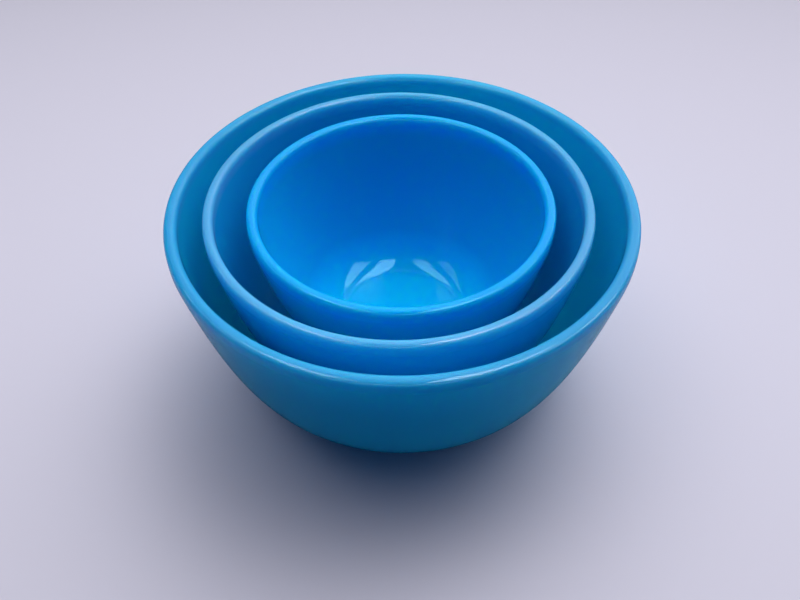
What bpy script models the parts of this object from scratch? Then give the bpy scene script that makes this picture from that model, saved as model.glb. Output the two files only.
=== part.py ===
"""A nest of three thick pressed-glass mixing bowls, one resting inside the next.

Units are metres and +Z is up. The origin is on the table under the centre of the
large bowl's foot. Each bowl is one turned solid. It has a rounded bead at the rim, a
wall that leans in and then turns in a cove to the base, and a low foot ring. The
medium bowl stands on the large bowl's floor, and the small one on the medium bowl's.
"""

from dataclasses import dataclass
from math import cos, pi, radians, sin

import bmesh
import bpy
from mathutils import Vector

# Points in one full turn of a bowl, and points along the curved parts of its outline.
TURN_STEPS = 60
WALL_STEPS = 7
RIM_STEPS = 3
FOOT_STEPS = 2
WELD = 1e-6
SHARP_EDGE = radians(40.0)

# Shape that all three bowls share.
WALL_LEAN = radians(10.2)
BASE_LEAN = radians(12.0)
BEAD_DEPTH = 0.0046
BEAD_TAPER = 0.0001
BEAD_FALL = 0.0014
FOOT_DEPTH = 0.0020
FOOT_WIDTH = 0.0046
FOOT_ROUND = 0.0006

# Clear space left between a bowl's foot and the floor that it stands on.
RESTING_GAP = 0.0003


@dataclass(frozen=True)
class Bowl:
    """One bowl's driving sizes, in metres, and its glass colour.

    wall_pull and base_pull are the lengths of the two handles of the outer curve, as
    shares of the outer radius. They say how full the wall is above the base.
    """

    name: str
    outer_radius: float
    height: float
    foot_radius: float
    rim_width: float
    wall: float
    wall_pull: float
    base_pull: float
    shift_x: float
    colour: tuple


LARGE = Bowl(
    name="large_bowl", outer_radius=0.1110, height=0.1010, foot_radius=0.0605,
    rim_width=0.0063, wall=0.0059, wall_pull=0.70, base_pull=0.22,
    shift_x=0.0, colour=(0.010, 0.390, 0.690, 1.0),
)
MEDIUM = Bowl(
    name="medium_bowl", outer_radius=0.0921, height=0.0927, foot_radius=0.0460,
    rim_width=0.0053, wall=0.0049, wall_pull=0.50, base_pull=0.31,
    shift_x=-0.0015, colour=(0.010, 0.380, 0.730, 1.0),
)
SMALL = Bowl(
    name="small_bowl", outer_radius=0.0733, height=0.0841, foot_radius=0.0350,
    rim_width=0.0053, wall=0.0049, wall_pull=0.48, base_pull=0.26,
    shift_x=-0.0004, colour=(0.005, 0.420, 0.880, 1.0),
)


def clear_scene():
    """Remove every object that the scene holds."""
    for obj in list(bpy.data.objects):
        bpy.data.objects.remove(obj, do_unlink=True)


def glass_material(name, colour):
    """Return an opaque glossy glass of one colour."""
    material = bpy.data.materials.new(name)
    material.use_nodes = True
    shader = material.node_tree.nodes["Principled BSDF"]
    shader.inputs["Base Color"].default_value = colour
    shader.inputs["Roughness"].default_value = 0.08
    shader.inputs["Metallic"].default_value = 0.0
    shader.inputs["IOR"].default_value = 1.51
    material.diffuse_color = colour
    return material


def arc(centre, radius, start, end, steps):
    """Return points on an arc. Angles are counted from +X towards +Z."""
    points = []
    for i in range(steps + 1):
        angle = start + (end - start) * i / steps
        points.append(centre + radius * Vector((cos(angle), sin(angle))))
    return points


def cubic(points, t):
    """Return the place and the unit direction at t on a cubic Bezier curve."""
    a, b, c, d = points
    s = 1.0 - t
    place = s**3 * a + 3 * s * s * t * b + 3 * s * t * t * c + t**3 * d
    slope = s * s * (b - a) + 2 * s * t * (c - b) + t * t * (d - c)
    return place, slope.normalized()


def wall_curve(bowl):
    """Return the four control points of the wall's outer face, from bead to foot."""
    bead_step = bowl.rim_width - bowl.wall
    top = Vector((bowl.outer_radius - bead_step, bowl.height - BEAD_DEPTH - BEAD_FALL))
    bottom = Vector((bowl.foot_radius, FOOT_DEPTH))
    down_wall = Vector((-sin(WALL_LEAN), -cos(WALL_LEAN)))
    up_base = Vector((cos(BASE_LEAN), sin(BASE_LEAN)))
    return (
        top,
        top + bowl.wall_pull * bowl.outer_radius * down_wall,
        bottom + bowl.base_pull * bowl.outer_radius * up_base,
        bottom,
    )


def wall_faces(bowl):
    """Return the wall's outer points and its inner points, both from top to bottom."""
    curve = wall_curve(bowl)
    outer = []
    inner = []
    for i in range(WALL_STEPS + 1):
        place, direction = cubic(curve, i / WALL_STEPS)
        inward = Vector((direction.y, -direction.x))
        outer.append(place)
        inner.append(place + bowl.wall * inward)
    return outer, inner


def rim_outline(bowl):
    """Return the bead's points, from its inner edge over the top and down its outside."""
    round_radius = bowl.rim_width / 2
    centre = Vector((bowl.outer_radius - round_radius, bowl.height - round_radius))
    over = arc(centre, round_radius, pi, 0.0, 2 * RIM_STEPS)
    bead_bottom = Vector((bowl.outer_radius - BEAD_TAPER, bowl.height - BEAD_DEPTH))
    return over + [bead_bottom]


def foot_outline(bowl):
    """Return the foot ring's points, from its outer side to the recess under the base."""
    outside = bowl.foot_radius
    inside = bowl.foot_radius - FOOT_WIDTH
    outer_round = Vector((outside - FOOT_ROUND, FOOT_ROUND))
    inner_round = Vector((inside + FOOT_ROUND, FOOT_ROUND))
    points = arc(outer_round, FOOT_ROUND, 0.0, -pi / 2, FOOT_STEPS)
    points += arc(inner_round, FOOT_ROUND, -pi / 2, -pi, FOOT_STEPS)
    return points + [Vector((inside - FOOT_ROUND, FOOT_DEPTH))]


def floor_height(bowl):
    """Return the height of the flat floor inside a bowl, above its own foot."""
    return wall_faces(bowl)[1][-1].y


def bowl_outline(bowl):
    """Return the whole outline, from the middle of the floor to the middle of the base."""
    outer, inner = wall_faces(bowl)
    floor_middle = Vector((0.0, floor_height(bowl)))
    base_middle = Vector((0.0, FOOT_DEPTH))
    outline = [floor_middle] + inner[::-1]
    outline += rim_outline(bowl) + outer + foot_outline(bowl)
    return outline + [base_middle]


def turned_mesh(name, outline):
    """Turn an outline about Z and return the closed mesh."""
    bm = bmesh.new()
    verts = [bm.verts.new((point.x, 0.0, point.y)) for point in outline]
    edges = [bm.edges.new(pair) for pair in zip(verts, verts[1:])]
    bmesh.ops.spin(
        bm, geom=verts + edges, cent=(0, 0, 0), axis=(0, 0, 1),
        angle=2 * pi, steps=TURN_STEPS, use_merge=True,
    )
    bmesh.ops.remove_doubles(bm, verts=bm.verts, dist=WELD)
    bmesh.ops.recalc_face_normals(bm, faces=bm.faces)
    mesh = bpy.data.meshes.new(name)
    bm.to_mesh(mesh)
    bm.free()
    mesh.shade_smooth()
    mesh.set_sharp_from_angle(angle=SHARP_EDGE)
    return mesh


def make_bowl(bowl, parent, base_height):
    """Add one bowl with its foot at base_height above the table."""
    obj = bpy.data.objects.new(bowl.name, turned_mesh(bowl.name, bowl_outline(bowl)))
    obj.data.materials.append(glass_material(bowl.name + "_glass", bowl.colour))
    obj.location = (bowl.shift_x, 0.0, base_height)
    if parent is not None:
        obj.parent = parent
        obj.location.x -= parent.matrix_world.translation.x
        obj.location.z -= parent.matrix_world.translation.z
    bpy.context.scene.collection.objects.link(obj)
    bpy.context.view_layer.update()
    return obj


def build():
    """Nest the three bowls, each one standing on the floor of the bowl outside it."""
    clear_scene()
    base_height = 0.0
    parent = None
    for bowl in (LARGE, MEDIUM, SMALL):
        parent = make_bowl(bowl, parent, base_height)
        base_height += floor_height(bowl) + RESTING_GAP


build()
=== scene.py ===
"""Looks for a nest of three thick pressed-glass mixing bowls.

Each bowl is turned again with a much finer outline than its CAD solid has: a rounded
bead with a soft crease under it, a wall that runs into the floor in one sweep, and a
foot ring round a shallow recess. Every bowl's place, radius and height are read from its
CAD box. Units are metres and +Z is up. The camera looks towards +Y.
"""

from dataclasses import dataclass
from math import cos, pi, radians, sin

import bmesh
import bpy
from mathutils import Matrix, Vector, noise


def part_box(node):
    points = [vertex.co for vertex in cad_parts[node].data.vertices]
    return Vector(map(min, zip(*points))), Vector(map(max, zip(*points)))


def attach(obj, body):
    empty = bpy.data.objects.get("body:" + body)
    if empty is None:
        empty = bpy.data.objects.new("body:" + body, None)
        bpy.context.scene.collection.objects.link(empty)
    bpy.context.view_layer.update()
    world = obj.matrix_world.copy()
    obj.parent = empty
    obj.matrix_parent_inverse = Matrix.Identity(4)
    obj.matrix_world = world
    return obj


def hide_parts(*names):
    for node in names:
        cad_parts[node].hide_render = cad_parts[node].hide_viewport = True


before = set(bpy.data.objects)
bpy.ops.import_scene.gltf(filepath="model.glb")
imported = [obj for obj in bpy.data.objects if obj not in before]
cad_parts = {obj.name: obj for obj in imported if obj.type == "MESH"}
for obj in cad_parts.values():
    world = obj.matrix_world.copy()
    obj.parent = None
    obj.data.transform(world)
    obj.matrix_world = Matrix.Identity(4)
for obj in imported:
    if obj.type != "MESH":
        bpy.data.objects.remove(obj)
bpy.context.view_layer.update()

# How finely the bowls are turned, and how many points each stretch of outline has.
TURN_STEPS = 256
FLOOR_STEPS = 10
INNER_STEPS = 40
OUTER_STEPS = 40
RIM_STEPS = 32
CREASE_STEPS = 6
FOOT_STEPS = 6
BASE_STEPS = 5

# Shape that the bowls share. The depths of the bead and the crease are measured down from
# the rim. The foot's depth is that of the recess inside the foot ring.
WALL_LEAN = radians(10.2)
BASE_LEAN = radians(12.0)
BEAD_STEP = 0.0003
BEAD_DEPTH = 0.0054
CREASE_DEPTH = 0.0078
BEAD_INNER_DEPTH = 0.0045
RIM_INNER_SQUARENESS = 3.0
RIM_OUTER_SQUARENESS = 3.8
FOOT_DEPTH = 0.0020
FOOT_WIDTH = 0.0046
FOOT_ROUND = 0.0008
RECESS_DOME = 0.0006

# How high above the foot the painted floor light starts to fade into the wall's colour, and
# how many times that height it is gone. The floor's colour is painted light where the
# overhead light falls. DRIFT is how much the boundary wanders up and down.
FLOOR_LIGHT_HEIGHT = 0.010
FLOOR_LIGHT_END = 2.5
DRIFT = 0.0015

# Waviness that pressing and fire-polishing leave in the glass.
WAVE_HEIGHT = 0.00010
WAVE_SCALE = 26.0
WAVE_SEED_STEPS = (3.1, 7.7, 5.3)

# The glass: its gloss and how deep light travels in it.
GLASS_IOR = 1.51
GLOSS_LEVEL = 0.35
ROUGHNESS_RANGE = (0.03, 0.08)
GLOW_DEPTH = 0.016

# Its unevenness, and the wander of the painted floor light's edge, which the first noise
# drives. Each noise is a scale and a detail, and each range is the part of the noise that
# counts.
FLOOR_LIGHT_EDGE_NOISE = (22.0, 3.0)
FLOOR_LIGHT_EDGE_RANGE = (0.3, 0.7)
SMEAR_NOISE = (45.0, 6.0)
SMEAR_RANGE = (0.35, 0.75)
RIPPLE_NOISE = (160.0, 2.0)
RIPPLE_STRENGTH = 0.10
RIPPLE_HEIGHT = 0.0002


@dataclass(frozen=True)
class Bowl:
    """What one bowl has besides its CAD box. Lengths are in metres.

    The pulls are lengths of curve handles, as shares of the outer radius. glow says how far
    red, green and blue light travel inside the glass, each times GLOW_DEPTH. The rim's
    colour is painted rim light, standing in for the light that the rim catches from above
    and glows with, and the rim depth is how far down the glass that painted band reaches.
    The floor's colour is painted light where the overhead light falls on the floor.
    """

    node: str
    slot: str
    foot_radius: float
    rim_width: float
    outer_wall_pull: float
    outer_base_pull: float
    inner_wall_pull: float
    inner_floor_pull: float
    floor_radius: float
    floor_height: float
    floor_dish: float
    rim_light_depth: float
    colour: tuple
    floor_light_colour: tuple
    rim_light_colour: tuple
    gloss_tint: tuple
    glow: tuple


# The rim colours are painted rim light, and the small bowl's floor colour is painted light
# from overhead; the other floors match their walls.
BOWLS = (
    Bowl(
        node="large_bowl", slot="large_glass", foot_radius=0.0605, rim_width=0.0063,
        outer_wall_pull=0.70, outer_base_pull=0.22,
        inner_wall_pull=0.66, inner_floor_pull=0.26, floor_radius=0.0540,
        floor_height=0.0078, floor_dish=0.0006, rim_light_depth=0.0066,
        colour=(0.006, 0.41, 0.72), floor_light_colour=(0.006, 0.41, 0.72),
        rim_light_colour=(0.030, 0.35, 0.70), gloss_tint=(0.70, 0.95, 1.0),
        glow=(0.20, 1.30, 0.98),
    ),
    Bowl(
        node="medium_bowl", slot="medium_glass", foot_radius=0.0460, rim_width=0.0053,
        outer_wall_pull=0.50, outer_base_pull=0.31,
        inner_wall_pull=0.46, inner_floor_pull=0.34, floor_radius=0.0400,
        floor_height=0.0068, floor_dish=0.0006, rim_light_depth=0.0070,
        colour=(0.006, 0.39, 0.77), floor_light_colour=(0.006, 0.39, 0.77),
        rim_light_colour=(0.085, 0.41, 0.83), gloss_tint=(1.0, 1.0, 1.0),
        glow=(0.20, 1.10, 0.92),
    ),
    Bowl(
        node="small_bowl", slot="small_glass", foot_radius=0.0350, rim_width=0.0057,
        outer_wall_pull=0.48, outer_base_pull=0.26,
        inner_wall_pull=0.55, inner_floor_pull=0.21, floor_radius=0.0290,
        floor_height=0.0068, floor_dish=0.0006, rim_light_depth=0.0100,
        colour=(0.003, 0.41, 0.79), floor_light_colour=(0.002, 0.60, 1.00),
        rim_light_colour=(0.003, 0.40, 0.90), gloss_tint=(0.30, 0.85, 1.0),
        glow=(0.15, 0.90, 0.33),
    ),
)


# ---------------------------------------------------------------- outline

def cubic(points, t):
    """Return the place at t on a cubic Bezier curve."""
    a, b, c, d = points
    s = 1.0 - t
    return s**3 * a + 3 * s * s * t * b + 3 * s * t * t * c + t**3 * d


def smooth_step(t):
    """Return a value that goes gently from 0 to 1 as t does."""
    return t * t * (3.0 - 2.0 * t)


def arc(centre, radius, start, end, steps):
    """Return points on an arc. Angles are counted from +X towards +Z."""
    angles = [start + (end - start) * i / steps for i in range(steps + 1)]
    return [centre + radius * Vector((cos(a), sin(a))) for a in angles]


def down_wall():
    """Return the unit direction of the wall just under the rim, going down."""
    return Vector((-sin(WALL_LEAN), -cos(WALL_LEAN)))


def floor_points(bowl):
    """Return the slightly dished floor's points, from the axis outwards."""
    points = []
    for i in range(FLOOR_STEPS):
        share = i / FLOOR_STEPS
        drop = bowl.floor_dish * (1.0 - share * share)
        points.append(Vector((bowl.floor_radius * share, bowl.floor_height - drop)))
    return points


def inner_wall_points(bowl, radius, height):
    """Return the inner face's points, from the floor's edge up to the rim."""
    top = Vector((radius - bowl.rim_width, height - BEAD_INNER_DEPTH))
    floor_edge = Vector((bowl.floor_radius, bowl.floor_height))
    floor_lean = 2.0 * bowl.floor_dish / bowl.floor_radius
    out_of_floor = Vector((1.0, floor_lean)).normalized()
    curve = (
        floor_edge,
        floor_edge + bowl.inner_floor_pull * radius * out_of_floor,
        top + bowl.inner_wall_pull * radius * down_wall(),
        top,
    )
    return [cubic(curve, i / INNER_STEPS) for i in range(INNER_STEPS)]


def rim_points(bowl, radius, height):
    """Return the bead's points, from the inner wall over the top to its outer side.

    Each side is a quarter of a superellipse. The outer one is squarer and falls lower.
    """
    half = bowl.rim_width / 2
    points = []
    for i in range(RIM_STEPS + 1):
        angle = pi * (1.0 - i / RIM_STEPS)
        inside = cos(angle) < 0.0
        fall = BEAD_INNER_DEPTH if inside else BEAD_DEPTH
        power = 2.0 / (RIM_INNER_SQUARENESS if inside else RIM_OUTER_SQUARENESS)
        across = abs(cos(angle)) ** power * (-1.0 if inside else 1.0)
        up = sin(angle) ** power if 0 < i < RIM_STEPS else 0.0
        x = radius - half + across * half
        points.append(Vector((x, height - fall + up * fall)))
    return points


def crease_points(radius, height):
    """Return the soft step from the bead's side in to the wall."""
    bead = Vector((radius, height - BEAD_DEPTH))
    wall = Vector((radius - BEAD_STEP, height - CREASE_DEPTH))
    points = []
    for i in range(1, CREASE_STEPS + 1):
        share = i / CREASE_STEPS
        x = bead.x + (wall.x - bead.x) * smooth_step(share)
        points.append(Vector((x, bead.y + (wall.y - bead.y) * share)))
    return points


def outer_wall_points(bowl, radius, height):
    """Return the outer face's points, from under the bead down to the foot."""
    top = Vector((radius - BEAD_STEP, height - CREASE_DEPTH))
    foot = Vector((bowl.foot_radius, FOOT_DEPTH))
    up_base = Vector((cos(BASE_LEAN), sin(BASE_LEAN)))
    curve = (
        top,
        top + bowl.outer_wall_pull * radius * down_wall(),
        foot + bowl.outer_base_pull * radius * up_base,
        foot,
    )
    return [cubic(curve, i / OUTER_STEPS) for i in range(1, OUTER_STEPS + 1)]


def foot_points(bowl):
    """Return the foot ring's points and the domed recess inside it, to the axis."""
    outside = bowl.foot_radius
    inside = bowl.foot_radius - FOOT_WIDTH
    outer_round = Vector((outside - FOOT_ROUND, FOOT_ROUND))
    inner_round = Vector((inside + FOOT_ROUND, FOOT_ROUND))
    points = arc(outer_round, FOOT_ROUND, 0.0, -pi / 2, FOOT_STEPS)
    points += arc(inner_round, FOOT_ROUND, -pi / 2, -pi, FOOT_STEPS)
    for i in range(BASE_STEPS + 1):
        share = 1.0 - i / BASE_STEPS
        rise = RECESS_DOME * (1.0 - share * share)
        points.append(Vector(((inside - FOOT_ROUND) * share, FOOT_DEPTH + rise)))
    return points


def bowl_outline(bowl, radius, height):
    """Return the whole outline, from the middle of the floor to the middle of the base."""
    return (
        floor_points(bowl)
        + inner_wall_points(bowl, radius, height)
        + rim_points(bowl, radius, height)
        + crease_points(radius, height)
        + outer_wall_points(bowl, radius, height)
        + foot_points(bowl)
    )


# ---------------------------------------------------------------- mesh

def turned_mesh(name, outline):
    """Turn an outline about Z and return the closed mesh.

    The outline's first and last points lie on the axis, so each becomes one vertex.
    """
    bm = bmesh.new()
    first = bm.verts.new((0.0, 0.0, outline[0].y))
    last = bm.verts.new((0.0, 0.0, outline[-1].y))
    rings = []
    for point in outline[1:-1]:
        ring = []
        for step in range(TURN_STEPS):
            turn = 2 * pi * step / TURN_STEPS
            ring.append(bm.verts.new((point.x * cos(turn), point.x * sin(turn), point.y)))
        rings.append(ring)
    for step in range(TURN_STEPS):
        after = (step + 1) % TURN_STEPS
        bm.faces.new((first, rings[0][step], rings[0][after]))
        bm.faces.new((last, rings[-1][after], rings[-1][step]))
        for upper, lower in zip(rings, rings[1:]):
            bm.faces.new((upper[step], lower[step], lower[after], upper[after]))
    bmesh.ops.recalc_face_normals(bm, faces=bm.faces)
    mesh = bpy.data.meshes.new(name)
    bm.to_mesh(mesh)
    bm.free()
    mesh.shade_smooth()
    return mesh


def press_marks(mesh, seed):
    """Push the glass in by a hair here and there, as pressing and fire-polishing do."""
    offset = Vector([seed * step for step in WAVE_SEED_STEPS])
    normals = [vertex.normal.copy() for vertex in mesh.vertices]
    for vertex, normal in zip(mesh.vertices, normals):
        above_foot = min(1.0, max(0.0, vertex.co.z / FOOT_DEPTH - 1.0))
        ripple = 0.5 + 0.5 * noise.noise(vertex.co * WAVE_SCALE + offset)
        vertex.co -= normal * (WAVE_HEIGHT * smooth_step(above_foot) * ripple)


# ---------------------------------------------------------------- materials

def add_node(tree, kind, place, **settings):
    """Add a node of one kind at a place in the editor, and set its properties."""
    node = tree.nodes.new(kind)
    node.location = place
    for key, value in settings.items():
        setattr(node, key, value)
    return node


def noise_node(tree, place, coordinates, scale, detail):
    """Return a noise texture's factor socket."""
    node = add_node(tree, "ShaderNodeTexNoise", place)
    node.inputs["Scale"].default_value = scale
    node.inputs["Detail"].default_value = detail
    tree.links.new(coordinates, node.inputs["Vector"])
    return node.outputs["Fac"]


def ramp_node(tree, place, factor, low, high, low_value, high_value):
    """Return a value that goes from low_value to high_value as factor goes low to high."""
    node = add_node(tree, "ShaderNodeMapRange", place)
    tree.links.new(factor, node.inputs["Value"])
    for socket, value in zip(("From Min", "From Max", "To Min", "To Max"),
                             (low, high, low_value, high_value)):
        node.inputs[socket].default_value = value
    return node.outputs["Result"]


def colour_mix(tree, place, factor, first, second):
    """Return a blend of two colours by a factor. Each is a colour or a colour socket."""
    node = add_node(tree, "ShaderNodeMix", place, data_type="RGBA")
    tree.links.new(factor, node.inputs["Factor"])
    for name, value in (("A", first), ("B", second)):
        socket = next(s for s in node.inputs if s.name == name and s.type == "RGBA")
        if isinstance(value, bpy.types.NodeSocket):
            tree.links.new(value, socket)
        else:
            socket.default_value = (*value, 1.0)
    return next(s for s in node.outputs if s.type == "RGBA")


def glass_material(bowl, height):
    """Return an opaque pressed glass: glossy, a little clouded, and faintly uneven, with
    painted light on its floor and rim.
    """
    material = bpy.data.materials.new(bowl.slot)
    material.use_nodes = True
    tree = material.node_tree
    shader = tree.nodes["Principled BSDF"]
    coordinates = add_node(tree, "ShaderNodeTexCoord", (-1100, 0)).outputs["Object"]

    position = add_node(tree, "ShaderNodeSeparateXYZ", (-850, 500))
    tree.links.new(coordinates, position.inputs["Vector"])
    # The floor's colour is painted light where the overhead light falls; it fades into the
    # wall's colour along a wandering edge.
    edge_noise = noise_node(tree, (-850, 250), coordinates, *FLOOR_LIGHT_EDGE_NOISE)
    drift = ramp_node(tree, (-620, 100), edge_noise, *FLOOR_LIGHT_EDGE_RANGE, -DRIFT, DRIFT)
    level = add_node(tree, "ShaderNodeMath", (-620, 300), operation="ADD")
    tree.links.new(position.outputs["Z"], level.inputs[0])
    tree.links.new(drift, level.inputs[1])
    wall = ramp_node(
        tree, (-450, 300), level.outputs["Value"],
        FLOOR_LIGHT_HEIGHT, FLOOR_LIGHT_HEIGHT * FLOOR_LIGHT_END, 0.0, 1.0,
    )
    body = colour_mix(tree, (-280, 250), wall, bowl.floor_light_colour, bowl.colour)
    # The rim's colour is painted rim light, for the light the rim catches from above and
    # glows with.
    rim = ramp_node(
        tree, (-620, 500), position.outputs["Z"],
        height - bowl.rim_light_depth, height - bowl.rim_light_depth / 2, 0.0, 1.0,
    )
    colour = colour_mix(tree, (-180, 350), rim, body, bowl.rim_light_colour)
    tree.links.new(colour, shader.inputs["Base Color"])

    smears = noise_node(tree, (-850, 0), coordinates, *SMEAR_NOISE)
    roughness = ramp_node(tree, (-620, 0), smears, *SMEAR_RANGE, *ROUGHNESS_RANGE)
    tree.links.new(roughness, shader.inputs["Roughness"])

    ripple = noise_node(tree, (-850, -250), coordinates, *RIPPLE_NOISE)
    bump = add_node(tree, "ShaderNodeBump", (-380, -250))
    bump.inputs["Strength"].default_value = RIPPLE_STRENGTH
    bump.inputs["Distance"].default_value = RIPPLE_HEIGHT
    tree.links.new(ripple, bump.inputs["Height"])
    tree.links.new(bump.outputs["Normal"], shader.inputs["Normal"])

    shader.inputs["IOR"].default_value = GLASS_IOR
    shader.inputs["Specular IOR Level"].default_value = GLOSS_LEVEL
    shader.inputs["Specular Tint"].default_value = (*bowl.gloss_tint, 1.0)
    shader.inputs["Subsurface Weight"].default_value = 1.0
    shader.inputs["Subsurface Radius"].default_value = bowl.glow
    shader.inputs["Subsurface Scale"].default_value = GLOW_DEPTH
    material.diffuse_color = (*bowl.colour, 1.0)
    return material


def floor_material(name, middle, edge, spot, reach, front=None):
    """Return a matt floor whose colour fades from middle at a spot to edge round it.

    front is a pair of distances along Y, between which the sheet comes out of black.
    """
    material = bpy.data.materials.new(name)
    material.use_nodes = True
    tree = material.node_tree
    shader = tree.nodes["Principled BSDF"]
    coordinates = add_node(tree, "ShaderNodeTexCoord", (-1100, 0)).outputs["Object"]
    across, back = spot
    wide, deep = reach
    centred = add_node(tree, "ShaderNodeMapping", (-850, 0), vector_type="POINT")
    centred.inputs["Location"].default_value = (-across / wide, -back / deep, 0.0)
    centred.inputs["Scale"].default_value = (1.0 / wide, 1.0 / deep, 0.0)
    tree.links.new(coordinates, centred.inputs["Vector"])
    spread = add_node(tree, "ShaderNodeVectorMath", (-620, 0), operation="DOT_PRODUCT")
    tree.links.new(centred.outputs["Vector"], spread.inputs[0])
    tree.links.new(centred.outputs["Vector"], spread.inputs[1])
    fade = ramp_node(tree, (-450, 0), spread.outputs["Value"], 0.0, 1.0, 0.0, 1.0)
    shaded = colour_mix(tree, (-280, 0), fade, middle, edge)
    if front is not None:
        position = add_node(tree, "ShaderNodeSeparateXYZ", (-620, 300))
        tree.links.new(coordinates, position.inputs["Vector"])
        lit = ramp_node(tree, (-450, 300), position.outputs["Y"], *front, 0.0, 1.0)
        scaled = add_node(tree, "ShaderNodeVectorMath", (-150, 150), operation="SCALE")
        tree.links.new(shaded, scaled.inputs["Vector"])
        tree.links.new(lit, scaled.inputs["Scale"])
        shaded = scaled.outputs["Vector"]
    tree.links.new(shaded, shader.inputs["Base Color"])
    shader.inputs["Roughness"].default_value = FLOOR_ROUGHNESS
    shader.inputs["Specular IOR Level"].default_value = FLOOR_GLOSS_LEVEL
    return material


# ---------------------------------------------------------------- bowls

def make_bowl(bowl, seed):
    """Turn one bowl in place of its CAD node, and make it ride on its body."""
    low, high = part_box(bowl.node)
    centre = (Vector(low) + Vector(high)) / 2
    radius = (high[0] - low[0]) / 2
    height = high[2] - low[2]
    mesh = turned_mesh(bowl.node + "_glass", bowl_outline(bowl, radius, height))
    press_marks(mesh, seed)
    mesh.materials.append(glass_material(bowl, height))
    piece = bpy.data.objects.new(bowl.node + "_glass", mesh)
    piece.location = (centre.x, centre.y, low[2])
    bpy.context.scene.collection.objects.link(piece)
    bpy.context.view_layer.update()
    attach(piece, bowl.node)
    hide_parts(bowl.node)


# ---------------------------------------------------------------- stage

FLOOR_SIZE = 12.0
TABLE_FRONT = 0.20
MIRROR_GAP = 0.0001
FLOOR_ROUGHNESS = 0.75
FLOOR_GLOSS_LEVEL = 0.2

# Each floor's colour at one spot, its colour away from there, the spot, and how far off
# to the side and to the back the second colour takes over. The table's is a painted pool of
# light, darker away from the nest. The mirrored sheet's is a painted reflection: bluish
# painted shade in front of the nest, greyer further off.
TABLE_LIGHT_POOL_COLOURS = ((0.685, 0.67, 0.72), (0.53, 0.52, 0.56), (0.07, 0.09), (0.75, 0.43))
PAINTED_REFLECTION_COLOURS = ((0.0, 0.24, 0.32), (0.30, 0.32, 0.38), (0.0, -0.15), (0.18, 0.26))

# Where along Y the mirrored floor's painted shade starts to lift out of black, and where it
# is gone.
PAINTED_REFLECTION_FRONT = (-0.28, -0.12)

# The camera, placed from the large bowl's rim: its outer radius is the unit.
CAMERA_BACK = 2.6508
CAMERA_ABOVE_RIM = 2.1684
CAMERA_PITCH = radians(46.595)
CAMERA_YAW = radians(-0.278)
CAMERA_ROLL = radians(-0.782)
CAMERA_LENS = 36.0
CAMERA_SENSOR = 36.0
CAMERA_RANGE = (0.01, 50.0)

# Soft patches of bright sky. Each has the way it lies, counted from +X, its height, how
# tightly it is gathered, and its brightness. Only the low ones show in the gloss.
LOW_SKY = (
    (10.0, 30.0, 20.0, 0.55),
    (45.0, 30.0, 20.0, 1.85),
    (60.0, 48.0, 20.0, 0.55),
    (90.0, 45.0, 20.0, 1.35),
)
HIGH_SKY = (
    (90.0, 45.0, 20.0, 0.9),
    (30.0, 60.0, 20.0, 1.1),
    (60.0, 62.0, 20.0, 4.1),
    (150.0, 60.0, 20.0, 2.4),
    (90.0, 80.0, 20.0, 0.8),
)
SKY_COLOUR = (0.994, 0.96, 1.024)
SHADE_COLOUR = (0.0, 0.026, 0.087)
BACKDROP_COLOUR = (0.68, 0.65, 0.77)

# Window panes at one height, which only show in the gloss: four overhead, and a wide one
# behind the camera. Left, right, near and far are in shares of that height, and the last
# value is the brightness.
PANE_HEIGHT = 1.2
PANES = (
    (0.10, 0.40, -0.45, 0.48, 9.0),
    (0.66, 1.30, -0.45, 0.48, 6.0),
    (-0.48, -0.20, -0.45, 0.52, 5.5),
    (-1.50, -0.80, -0.45, 0.60, 2.2),
    (-2.00, 2.00, -3.60, -1.75, 3.0),
)


def make_sheet(name, near, far, height, material):
    """Lay one wide flat sheet and return it."""
    half = FLOOR_SIZE / 2
    mesh = bpy.data.meshes.new(name)
    corners = [(-half, near, 0), (half, near, 0), (half, far, 0), (-half, far, 0)]
    mesh.from_pydata(corners, [], [(0, 1, 2, 3)])
    mesh.materials.append(material)
    sheet = bpy.data.objects.new(name, mesh)
    sheet.location.z = height
    bpy.context.scene.collection.objects.link(sheet)
    return sheet


def make_floor():
    """Lay a pale floor for the nest to stand on. Its colour is a painted pool of light.

    The table's part lights the bowls. The apron in front of it only shows to the camera,
    as if the table ended there. The glass mirrors a darker sheet of its own, with a painted
    reflection on it that is bluish painted shade in front of the nest and goes black
    towards the front.
    """
    half = FLOOR_SIZE / 2
    # The table's colour is a painted pool of light, darker away from the nest.
    pale = floor_material("studio_floor", *TABLE_LIGHT_POOL_COLOURS)
    reflection_paint = floor_material("studio_painted_reflection_floor", *PAINTED_REFLECTION_COLOURS, PAINTED_REFLECTION_FRONT)
    table = make_sheet("studio_floor", -TABLE_FRONT, half, 0.0, pale)
    table.visible_glossy = False
    apron = make_sheet("studio_apron", -half, -TABLE_FRONT, 0.0, pale)
    apron.visible_diffuse = False
    apron.visible_glossy = False
    apron.visible_transmission = False
    # This sheet carries a painted reflection: bluish painted shade in front of the nest,
    # going black towards the front.
    reflection_sheet = make_sheet("studio_painted_reflection_floor", -half, half, MIRROR_GAP, reflection_paint)
    reflection_sheet.visible_camera = False
    reflection_sheet.visible_diffuse = False
    reflection_sheet.visible_transmission = False
    reflection_sheet.visible_shadow = False


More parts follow.
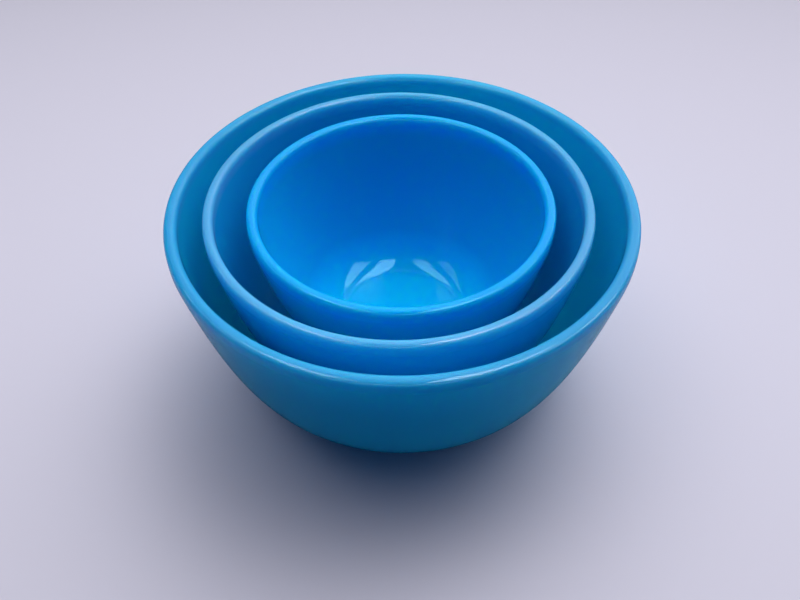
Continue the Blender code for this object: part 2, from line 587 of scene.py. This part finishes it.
def sky_patches(tree, place, direction, patches):
    """Return the summed brightness of some soft round patches of sky."""
    total = None
    for number, (turn, rise, gather, brightness) in enumerate(patches):
        x = place[0]
        y = place[1] - 200 * number
        turn = radians(turn)
        rise = radians(rise)
        facing = add_node(tree, "ShaderNodeVectorMath", (x, y), operation="DOT_PRODUCT")
        facing.inputs[1].default_value = (
            cos(rise) * cos(turn), cos(rise) * sin(turn), sin(rise),
        )
        tree.links.new(direction, facing.inputs[0])
        lit = ramp_node(tree, (x + 200, y), facing.outputs["Value"], 0.0, 1.0, 0.0, 1.0)
        power = add_node(tree, "ShaderNodeMath", (x + 400, y), operation="POWER")
        power.inputs[1].default_value = gather
        tree.links.new(lit, power.inputs[0])
        add = add_node(tree, "ShaderNodeMath", (x + 600, y), operation="MULTIPLY_ADD")
        add.inputs[1].default_value = brightness
        add.inputs[2].default_value = 0.0
        tree.links.new(power.outputs["Value"], add.inputs[0])
        if total is not None:
            tree.links.new(total, add.inputs[2])
        total = add.outputs["Value"]
    return total


def make_sky():
    """Light the scene with soft patches of sky.

    The camera sees a plain pale backdrop in their place.
    """
    world = bpy.data.worlds.new("studio")
    world.use_nodes = True
    tree = world.node_tree
    tree.nodes.clear()
    direction = add_node(tree, "ShaderNodeTexCoord", (-1500, 0)).outputs["Generated"]
    rays = add_node(tree, "ShaderNodeLightPath", (-1500, 400))
    low = sky_patches(tree, (-1300, 0), direction, LOW_SKY)
    high = sky_patches(tree, (-1300, -1200), direction, HIGH_SKY)
    unseen = ramp_node(tree, (-400, 200), rays.outputs["Is Glossy Ray"], 0, 1, 1, 0)
    power = add_node(tree, "ShaderNodeMath", (-200, 0), operation="MULTIPLY_ADD")
    tree.links.new(high, power.inputs[0])
    tree.links.new(unseen, power.inputs[1])
    tree.links.new(low, power.inputs[2])
    light = add_node(tree, "ShaderNodeBackground", (0, 0))
    light.inputs["Color"].default_value = (*SKY_COLOUR, 1.0)
    tree.links.new(power.outputs["Value"], light.inputs["Strength"])
    shade = add_node(tree, "ShaderNodeBackground", (0, 150))
    shade.inputs["Color"].default_value = (*SHADE_COLOUR, 1.0)
    both = add_node(tree, "ShaderNodeAddShader", (150, 100))
    tree.links.new(light.outputs["Background"], both.inputs[0])
    tree.links.new(shade.outputs["Background"], both.inputs[1])
    backdrop = add_node(tree, "ShaderNodeBackground", (0, -200))
    backdrop.inputs["Color"].default_value = (*BACKDROP_COLOUR, 1.0)
    choice = add_node(tree, "ShaderNodeMixShader", (300, 0))
    tree.links.new(rays.outputs["Is Camera Ray"], choice.inputs["Fac"])
    tree.links.new(both.outputs["Shader"], choice.inputs[1])
    tree.links.new(backdrop.outputs["Background"], choice.inputs[2])
    output = add_node(tree, "ShaderNodeOutputWorld", (500, 0))
    tree.links.new(choice.outputs["Shader"], output.inputs["Surface"])
    bpy.context.scene.world = world


def hang_panes():
    """Hang the window panes, where only glossy reflections can find them."""
    for number, (left, right, near, far, brightness) in enumerate(PANES, start=1):
        name = f"window_pane_{number}"
        data = bpy.data.lights.new(name, "AREA")
        data.shape = "RECTANGLE"
        data.color = SKY_COLOUR
        data.size = (right - left) * PANE_HEIGHT
        data.size_y = (far - near) * PANE_HEIGHT
        # A pane's power is its brightness times its area times pi.
        data.energy = brightness * data.size * data.size_y * pi
        pane = bpy.data.objects.new(name, data)
        across = (left + right) / 2 * PANE_HEIGHT
        back = (near + far) / 2 * PANE_HEIGHT
        pane.location = (across, back, PANE_HEIGHT)
        pane.visible_camera = False
        pane.visible_diffuse = False
        pane.visible_transmission = False
        pane.visible_volume_scatter = False
        bpy.context.scene.collection.objects.link(pane)


def make_camera():
    """Place the camera on the large bowl's axis plane, looking down into the nest."""
    low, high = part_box("large_bowl")
    radius = (high[0] - low[0]) / 2
    data = bpy.data.cameras.new("camera")
    data.sensor_fit = "HORIZONTAL"
    data.sensor_width = CAMERA_SENSOR
    data.lens = CAMERA_LENS
    data.clip_start, data.clip_end = CAMERA_RANGE
    data.dof.use_dof = False
    camera = bpy.data.objects.new("camera", data)
    turn = Matrix.Rotation(-CAMERA_YAW, 4, "Z")
    tip = Matrix.Rotation(pi / 2 - CAMERA_PITCH, 4, "X")
    roll = Matrix.Rotation(CAMERA_ROLL, 4, "Z")
    back = -CAMERA_BACK * radius
    up = high[2] + CAMERA_ABOVE_RIM * radius
    camera.matrix_world = Matrix.Translation((0.0, back, up)) @ turn @ tip @ roll
    bpy.context.scene.collection.objects.link(camera)
    bpy.context.scene.camera = camera


make_camera()
for seed, bowl in enumerate(BOWLS, start=1):
    make_bowl(bowl, seed)
make_floor()
make_sky()
hang_panes()
bpy.context.scene.view_settings.view_transform = "Standard"
